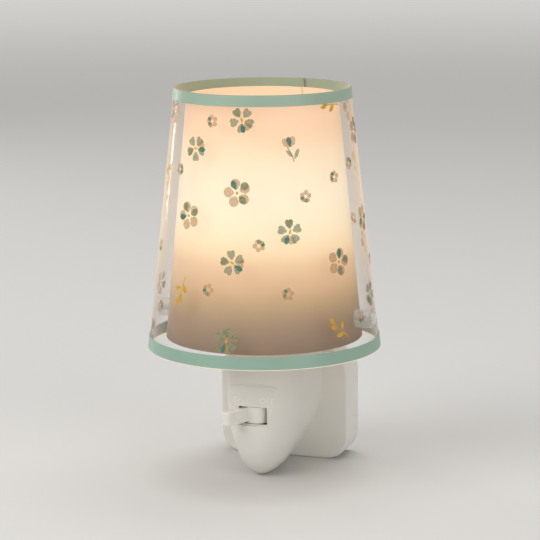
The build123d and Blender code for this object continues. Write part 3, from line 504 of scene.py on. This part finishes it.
motifs = {  # ink, shape, length, width, distance from its place, first angle, how many, place
    "rose": (
        ("inkTaupe", "round", 4.9, 4.6, 1.5, 12, 5, (0, 0)),
        ("inkSage", "round", 4.2, 3.2, 1.9, 78, 1, (0.3, -0.3)),
        ("inkSage", "round", 4.0, 3.6, 2.1, 164, 1, (-0.4, -0.2)),
        ("inkTeal", "petal", 4.4, 2.6, 1.8, 236, 1, (0.2, 0.2)),
        ("inkMustard", "disc", 1.5, 1.2, -0.75, 30, 1, (0, 0)),
    ),
    "windflower": (
        ("inkSage", "notched", 4.6, 4.3, 1.4, 20, 5, (0, 0)),
        ("inkTaupe", "notched", 4.2, 3.4, 1.7, 96, 2, (0.2, 0.1)),
        ("inkTeal", "petal", 3.9, 2.2, 1.6, 246, 1, (0, 0)),
        ("inkMustard", "leaf", 2.6, 1.2, -1.3, 70, 1, (0, 0)),
    ),
    "starlet": (
        ("inkTaupe", "round", 2.3, 2.2, 0.6, 18, 5, (0, 0)),
        ("inkTeal", "round", 2.0, 1.5, 0.8, 205, 1, (0, 0)),
        ("inkSage", "round", 2.0, 1.9, 0.8, 278, 1, (0, 0)),
    ),
    "sprig": (
        ("inkMustard", "stem", 12.5, 0.5, -6.0, 90, 1, (0, 0)),
        ("inkMustard", "leaf", 4.4, 2.4, 0.2, 142, 1, (-0.3, -2.4)),
        ("inkMustard", "leaf", 4.2, 2.3, 0.2, 36, 1, (0.1, -0.6)),
        ("inkMustard", "petal", 4.2, 2.3, 0.2, 128, 1, (-0.1, 1.8)),
        ("inkMustard", "petal", 4.4, 2.2, 0.0, 82, 1, (-0.5, 4.2)),
    ),
    "tulip": (
        ("inkSage", "stem", 7.0, 0.5, -7.0, 90, 1, (0, 0)),
        ("inkSage", "leaf", 5.2, 2.2, 0.0, 52, 1, (0.5, -6.0)),
        ("inkSage", "leaf", 4.6, 2.0, 0.0, 124, 1, (0.2, -5.0)),
        ("inkTaupe", "round", 4.8, 3.2, -0.4, 62, 1, (0.4, 0)),
        ("inkTaupe", "round", 4.8, 3.2, -0.4, 118, 1, (-0.4, 0)),
        ("inkTeal", "petal", 4.6, 2.6, -0.4, 90, 1, (0, 0)),
    ),
}
printing = {
    "low": 67.7,
    "high": 201.5,
    "lowRadius": 59.6,
    "highRadius": 44.6,
    "scale": 1.12,
    "rows": (82, 101, 120, 139, 158, 177, 192),
    "perRow": 6,
    "rowTurn": 31,
    "sway": 4,
    "swayStep": 2.4,
    "turnStep": 47,
    "tulipLean": 24,
    "starlet": {"below": 180, "beside": 14, "above": 9, "turnStep": 31},
    "order": ("windflower", "sprig", "rose", "starlet", "windflower", "tulip", "rose"),
    "thickness": 0.02,
}


pinches = {  # between which shares of the length a shape is drawn in, and to what part of its width
    "stem": (),
    "disc": (),
    "round": ((-1, 0.3, 0.72),),
    "petal": ((-1, 0.5, 0.8), (-1, 0.25, 0.65)),
    "notched": ((-1, 0.5, 0.8), (-1, 0.25, 0.65)),
    "leaf": ((-1, 0.5, 0.8), (-1, 0.25, 0.65), (0.6, 2, 0.8), (0.85, 2, 0.55)),
}
outline = {"sides": 18, "stemSteps": 10, "stemBend": 24, "notchFrom": 0.98, "notch": 0.13}


def flatShape(kind, length, width):
    if kind == "stem":
        bpy.ops.mesh.primitive_grid_add(x_subdivisions=outline["stemSteps"], y_subdivisions=1, size=1)
    else:
        bpy.ops.mesh.primitive_circle_add(vertices=outline["sides"], radius=0.5, fill_type="TRIFAN")
    shape = bpy.context.object
    shape.scale = (length, width, 1)
    shape.location.x = length / 2
    applyPlace(shape)
    for start, end, amount in pinches[kind]:
        editPoints(shape, lambda point: start * length < point.x < end * length)
        bpy.ops.transform.resize(value=(1, amount, 1))
        bpy.ops.object.mode_set(mode="OBJECT")
    if kind == "notched":
        editPoints(shape, lambda point: point.x > outline["notchFrom"] * length)
        bpy.ops.transform.translate(value=(-outline["notch"] * length, 0, 0))
        bpy.ops.object.mode_set(mode="OBJECT")
    if kind == "stem":
        bend = shape.modifiers.new("bend", "SIMPLE_DEFORM")
        bend.deform_method = "BEND"
        bend.deform_axis = "Z"
        bend.angle = math.radians(outline["stemBend"])
        applyModifiers(shape)
    return shape


def drawMotif(name, rows):  # one flat mesh for each ink
    byInk = {}
    for ink, kind, length, width, start, angle, count, place in rows:
        for step in range(count):
            shape = flatShape(kind, length, width)
            turn = Matrix.Rotation(math.radians(angle + 360 * step / count), 4, "Z")
            middle = Matrix.Translation((place[0], place[1], 0))
            shape.matrix_world = middle @ turn @ Matrix.Translation((start, 0, 0))
            applyPlace(shape)
            byInk.setdefault(ink, []).append(shape)
    return {ink: joinAll(shapes, f"{name}_{ink}") for ink, shapes in byInk.items()}


def filmPlace(angle, height):  # right along the rim, up along the slope, and out of the film
    share = (height - printing["low"]) / (printing["high"] - printing["low"])
    radius = printing["lowRadius"] + (printing["highRadius"] - printing["lowRadius"]) * share
    slope = math.atan2(printing["lowRadius"] - printing["highRadius"], printing["high"] - printing["low"])
    turn = math.radians(angle)
    out = Vector((math.sin(turn) * math.cos(slope), -math.cos(turn) * math.cos(slope), math.sin(slope)))
    along = Vector((math.cos(turn), math.sin(turn), 0))
    spot = Vector((math.sin(turn) * radius, -math.cos(turn) * radius, height)) + out
    return Matrix.Translation(spot * mm) @ Matrix((along, out.cross(along), out)).transposed().to_4x4()


def printShade():
    drawn = {name: drawMotif(name, rows) for name, rows in motifs.items()}
    printed = {ink: [] for ink in inks}
    starlet = printing["starlet"]
    spots = []
    for row, height in enumerate(printing["rows"]):
        for step in range(printing["perRow"]):
            place = row * printing["perRow"] + step
            angle = step * 360 / printing["perRow"] + row * printing["rowTurn"]
            sway = printing["sway"] * math.sin(place * printing["swayStep"])
            name = printing["order"][(row * 3 + step) % len(printing["order"])]
            turn = place * printing["turnStep"] % 360
            if name == "tulip":
                turn = printing["tulipLean"] * math.sin(place)
            spots.append((name, angle, height + sway, turn))
            if place % 2 and height < starlet["below"]:
                beside, above = angle + starlet["beside"] + sway, height + starlet["above"] - sway
                spots.append(("starlet", beside, above, place * starlet["turnStep"] % 360))
    for name, angle, height, turn in spots:
        turned = Matrix.Rotation(math.radians(turn), 4, "Z")
        laid = filmPlace(angle, height) @ turned @ Matrix.Scale(mm * printing["scale"], 4)
        for ink, shape in drawn[name].items():
            copied = shape.copy()
            copied.data = shape.data.copy()
            bpy.context.collection.objects.link(copied)
            copied.matrix_world = laid
            printed[ink].append(copied)
    for shapes in drawn.values():
        for shape in shapes.values():
            bpy.data.objects.remove(shape)
    for ink, shapes in printed.items():
        if shapes:
            layInk(ink, joinAll(shapes, "print" + ink[3:]))


def layInk(ink, layer):
    applyPlace(layer)
    wrap = layer.modifiers.new("wrap", "SHRINKWRAP")
    wrap.target = nodes["outer_shade"]
    wrap.wrap_method = "NEAREST_SURFACEPOINT"
    wrap.wrap_mode = "ABOVE_SURFACE"
    wrap.offset = inkOffset[ink] * mm
    skin = layer.modifiers.new("skin", "SOLIDIFY")
    skin.thickness = printing["thickness"] * mm
    skin.offset = 1
    applyModifiers(layer)
    layer.data.materials.clear()
    layer.data.materials.append(materials[ink])
    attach(layer, "shade")


printShade()
print("shade printed")

# Overlaps, where each rolled film is glued to itself. Angles run from the plug's side to the right.

overlapThick = 0.45
roundSteps = 720
smoothBelow = {"overlap": 30, "cap": 40}  # degrees
overlaps = {  # heights, radii, angles, finish and slot
    "filmOverlap": ((67.7, 195.8), (59.07, 44.71), (3.7, 11.7), "clearFilm", "clear_film"),
    # the band's strip is painted shade, a dark line where the glued seam crosses the top band
    "bandOverlap": ((195.8, 201.5), (44.71, 44.07), (10.9, 11.7), "cutEdgeShade", "band_sage"),
    "diffuserOverlap": ((73.5, 197.5), (49.97, 37.87), (5.6, 14.6), "diffuserFilm", "diffuser_film"),
}


def gluedStrip(name, heights, radii, angles, finish, slot):
    tall = heights[1] - heights[0]
    bpy.ops.mesh.primitive_cone_add(
        vertices=roundSteps,
        radius1=radii[0] * mm,
        radius2=radii[1] * mm,
        depth=tall * mm,
        end_fill_type="NOTHING",
        location=(0, 0, (heights[0] + tall / 2) * mm),
    )
    band = bpy.context.object
    band.name = name
    band.data.name = name
    applyPlace(band)
    editPoints(band, lambda point: not angles[0] < math.degrees(math.atan2(point.x, point.y)) < angles[1])
    bpy.ops.mesh.delete(type="VERT")
    bpy.ops.object.mode_set(mode="OBJECT")
    skin = band.modifiers.new("skin", "SOLIDIFY")
    skin.thickness = overlapThick * mm
    skin.offset = -1
    # the strip's cut rims get painted shade, darker than the film itself
    skin.material_offset_rim = 1
    band.data.materials.append(materials[finish])
    band.data.materials.append(materials["cutEdgeShade"])
    applyModifiers(band)
    bpy.ops.object.shade_smooth_by_angle(angle=math.radians(smoothBelow["overlap"]))
    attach(band, "shade")


for name, strip in overlaps.items():
    gluedStrip(name, *strip)
print("films glued")

# Screw cap of the bulb: a thin shell with a rolled thread, in place of the plain one

screwCap = {
    "bottom": 106.8,
    "straight": 107.5,
    "collar": 119.3,
    "top": 120.8,
    "bottomRadius": 6.0,
    "root": 6.58,
    "crest": 6.95,
    "flare": 0.3,
    "wall": 0.06,
    "sides": 72,
    "thread": {"low": 109.3, "pitch": 2.82, "turns": 3, "half": 0.95, "depth": 0.5, "sides": 14, "steps": 60},
}


def capShell():
    tall = screwCap["collar"] - screwCap["straight"]
    bpy.ops.mesh.primitive_cylinder_add(
        vertices=screwCap["sides"],
        radius=screwCap["root"] * mm,
        depth=tall * mm,
        end_fill_type="NOTHING",
        location=(0, 0, (screwCap["straight"] + tall / 2) * mm),
    )
    shell = bpy.context.object
    applyPlace(shell)
    flare = screwCap["crest"] / screwCap["root"]
    editPoints(shell, lambda point: point.z > (screwCap["collar"] - 1) * mm)
    bpy.ops.mesh.extrude_edges_move(TRANSFORM_OT_translate={"value": (0, 0, screwCap["flare"] * mm)})
    bpy.ops.transform.resize(value=(flare, flare, 1))
    rise = screwCap["top"] - screwCap["collar"] - screwCap["flare"]
    bpy.ops.mesh.extrude_edges_move(TRANSFORM_OT_translate={"value": (0, 0, rise * mm)})
    bpy.ops.object.mode_set(mode="OBJECT")
    taper = screwCap["bottomRadius"] / screwCap["root"]
    editPoints(shell, lambda point: point.z < (screwCap["straight"] + 1) * mm)
    drop = screwCap["bottom"] - screwCap["straight"]
    bpy.ops.mesh.extrude_edges_move(TRANSFORM_OT_translate={"value": (0, 0, drop * mm)})
    bpy.ops.transform.resize(value=(taper, taper, 1))
    bpy.ops.mesh.edge_face_add()
    bpy.ops.mesh.select_all(action="SELECT")
    bpy.ops.mesh.normals_make_consistent(inside=False)
    bpy.ops.object.mode_set(mode="OBJECT")
    skin = shell.modifiers.new("skin", "SOLIDIFY")
    skin.thickness = screwCap["wall"] * mm
    skin.offset = -1
    applyModifiers(shell)
    return shell


def capThread():
    thread = screwCap["thread"]
    bpy.ops.mesh.primitive_circle_add(vertices=thread["sides"], radius=1, rotation=(math.pi / 2, 0, 0))
    ridge = bpy.context.object
    ridge.scale = (thread["depth"] * mm, thread["half"] * mm, 1)
    ridge.location = ((screwCap["crest"] - thread["depth"]) * mm, 0, thread["low"] * mm)
    applyPlace(ridge)
    coil = ridge.modifiers.new("coil", "SCREW")
    coil.screw_offset = thread["pitch"] * mm
    coil.iterations = thread["turns"]
    coil.steps = coil.render_steps = thread["steps"]
    coil.use_merge_vertices = False
    applyModifiers(ridge)
    bpy.ops.object.mode_set(mode="EDIT")
    bpy.ops.mesh.select_mode(type="VERT")
    bpy.ops.mesh.select_all(action="DESELECT")
    bpy.ops.mesh.select_non_manifold()  # both open ends of the ridge sink into the shell
    bpy.ops.transform.translate(value=(-thread["depth"] * mm, 0, 0))
    bpy.ops.mesh.select_all(action="SELECT")
    bpy.ops.mesh.fill_holes(sides=thread["sides"])
    bpy.ops.mesh.normals_make_consistent(inside=False)
    bpy.ops.object.mode_set(mode="OBJECT")
    return ridge


threadedCap = joinAll([capShell(), capThread()], "threadedCap")
bpy.ops.object.shade_smooth_by_angle(angle=math.radians(smoothBelow["cap"]))
threadedCap.data.materials.clear()
threadedCap.data.materials.append(materials["capMetal"])
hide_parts("bulb_cap")
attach(threadedCap, "bulb")
print("bulb cap threaded")

# Raised words beside the lever

words = {
    "wordOn": {"text": "ON", "from": -10.2, "to": -4.9},
    "wordOff": {"text": "OFF", "from": 3.7, "to": 11.0},
}
panel = {"top": 49.6, "topY": -17.9, "tilt": 9.0, "low": 41.2, "letter": 2.8, "raise": 0.24, "sink": 0.05}
stroke = {"extrude": 0.02, "spacing": 1.15, "mergeWithin": 0.000002}


def raisedWord(name, word):
    bpy.ops.object.text_add()
    text = bpy.context.object
    text.data.body = word["text"]
    text.data.extrude = stroke["extrude"]
    text.data.space_character = stroke["spacing"]
    selectOnly(text)
    bpy.ops.object.convert(target="MESH")
    solid = bpy.context.object
    low = Vector([min(corner[axis] for corner in solid.bound_box) for axis in range(3)])
    high = Vector([max(corner[axis] for corner in solid.bound_box) for axis in range(3)])
    tilt = math.radians(panel["tilt"])
    sizes = Vector((word["to"] - word["from"], panel["letter"], panel["raise"] + panel["sink"]))
    fit = Matrix.Diagonal([sizes[axis] / (high[axis] - low[axis]) for axis in range(3)] + [1])
    faceY = panel["topY"] - (panel["top"] - panel["low"]) * math.tan(tilt)
    spot = Vector((word["from"], faceY + panel["sink"], panel["low"]))
    stand = Matrix.Rotation(math.pi / 2 - tilt, 4, "X")
    solid.matrix_world = Matrix.Scale(mm, 4) @ Matrix.Translation(spot) @ stand @ fit @ Matrix.Translation(-low)
    applyPlace(solid)
    bpy.ops.object.mode_set(mode="EDIT")
    bpy.ops.mesh.select_all(action="SELECT")
    bpy.ops.mesh.remove_doubles(threshold=stroke["mergeWithin"])
    bpy.ops.mesh.normals_make_consistent(inside=False)
    bpy.ops.object.mode_set(mode="OBJECT")
    solid.name = name
    solid.data.name = name
    solid.data.materials.clear()
    solid.data.materials.append(materials["letterPlastic"])
    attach(solid, "base")


for name, word in words.items():
    raisedWord(name, word)
print("words raised")

# Camera

camera = {
    "azimuth": 18.5,
    "elevation": 10.77,
    "roll": -0.47,
    "distance": 1.1098,
    "lens": 144.05,
    "sensor": 36,
    "clip": (0.05, 60),
    "aim": 0.10678,
    "side": 0.00318,
}
azimuth = math.radians(camera["azimuth"])
elevation = math.radians(camera["elevation"])
right = Vector((math.cos(azimuth), math.sin(azimuth), 0))
toCamera = Vector((math.sin(azimuth), -math.cos(azimuth), 0))
back = toCamera * math.cos(elevation) + Vector((0, 0, math.sin(elevation)))
up = back.cross(right)
roll = math.radians(camera["roll"])
rolledRight = right * math.cos(roll) + up * math.sin(roll)
rolledUp = up * math.cos(roll) - right * math.sin(roll)
eye = Vector((0, 0, camera["aim"])) + right * camera["side"] + back * camera["distance"]
bpy.ops.object.camera_add()
photoCamera = bpy.context.object
photoCamera.matrix_world = Matrix.Translation(eye) @ Matrix((rolledRight, rolledUp, back)).transposed().to_4x4()
photoCamera.data.sensor_width = camera["sensor"]
photoCamera.data.lens = camera["lens"]
photoCamera.data.clip_start, photoCamera.data.clip_end = camera["clip"]
bpy.context.scene.camera = photoCamera

# Floor

studioFloor = {
    "size": 24,
    "light": (0.63, 0.62, 0.60),
    "dark": (0.60, 0.59, 0.57),
    "rough": 0.75,
    "grain": {"Size": 60.0, "Patch Size": 1.5},
    "fade": (0.3, 4.5),  # from where to where the floor turns into the backdrop
    "backdrop": (0.42, 0.415, 0.405),
}
bpy.ops.mesh.primitive_plane_add(size=studioFloor["size"])
floor = bpy.context.object
floor.name = "studioFloor"
material, tree, shader, coord = startMaterial("paleFloor")
grain = placeGroup(tree, grainGroup, coord, studioFloor["grain"])
color = mixTones(tree, grain.outputs["Patch"], studioFloor["dark"], studioFloor["light"])
tree.links.new(color, shader.inputs["Base Color"])
shader.inputs["Roughness"].default_value = studioFloor["rough"]
far = tree.nodes.new("ShaderNodeVectorMath")
far.operation = "LENGTH"
tree.links.new(coord, far.inputs[0])
share = tree.nodes.new("ShaderNodeMapRange")
share.interpolation_type = "SMOOTHERSTEP"
share.inputs["From Min"].default_value = studioFloor["fade"][0]
share.inputs["From Max"].default_value = studioFloor["fade"][1]
tree.links.new(far.outputs["Value"], share.inputs["Value"])
rays = tree.nodes.new("ShaderNodeLightPath")
seen = rays.outputs["Is Camera Ray"]
for other in ("Is Glossy Ray", "Is Transmission Ray"):
    either = tree.nodes.new("ShaderNodeMath")
    either.operation = "MAXIMUM"
    tree.links.new(seen, either.inputs[0])
    tree.links.new(rays.outputs[other], either.inputs[1])
    seen = either.outputs["Value"]
glow = tree.nodes.new("ShaderNodeMath")
glow.operation = "MULTIPLY"
tree.links.new(share.outputs["Result"], glow.inputs[0])
tree.links.new(seen, glow.inputs[1])
tree.links.new(glow.outputs["Value"], shader.inputs["Emission Strength"])
shader.inputs["Emission Color"].default_value = (*studioFloor["backdrop"], 1)
floor.data.materials.append(material)

# Lights

lampTarget = (0, 0, 0.1)
worldLight = {"color": (0.62, 0.61, 0.60), "strength": 0.5}
lamps = {
    "keyLamp": {"at": (-1.1, -1.3, 1.3), "size": (1.5, 1.5), "power": 24},
    "fillLamp": {"at": (1.6, -1.1, 0.8), "size": (1.2, 1.2), "power": 11},
    "topLamp": {"at": (0.1, 0.3, 1.9), "size": (1.4, 1.4), "power": 20},
    "stripLamp": {"at": (-1.26, 0.81, 0.3), "size": (0.09, 1.1), "power": 4},
}
for name, lamp in lamps.items():
    bpy.ops.object.light_add(type="AREA", location=lamp["at"])
    light = bpy.context.object
    light.name = name
    light.data.shape = "RECTANGLE"
    light.data.size, light.data.size_y = lamp["size"]
    light.data.energy = lamp["power"]
    toTarget = Vector(lampTarget) - Vector(lamp["at"])
    light.rotation_euler = toTarget.to_track_quat("-Z", "Y").to_euler()

world = bpy.data.worlds.new("studioWorld")
bpy.context.scene.world = world
world.use_nodes = True
background = world.node_tree.nodes["Background"]
background.inputs["Color"].default_value = (*worldLight["color"], 1)
background.inputs["Strength"].default_value = worldLight["strength"]
bpy.context.scene.view_settings.view_transform = "Standard"
print("camera, floor and lights placed")
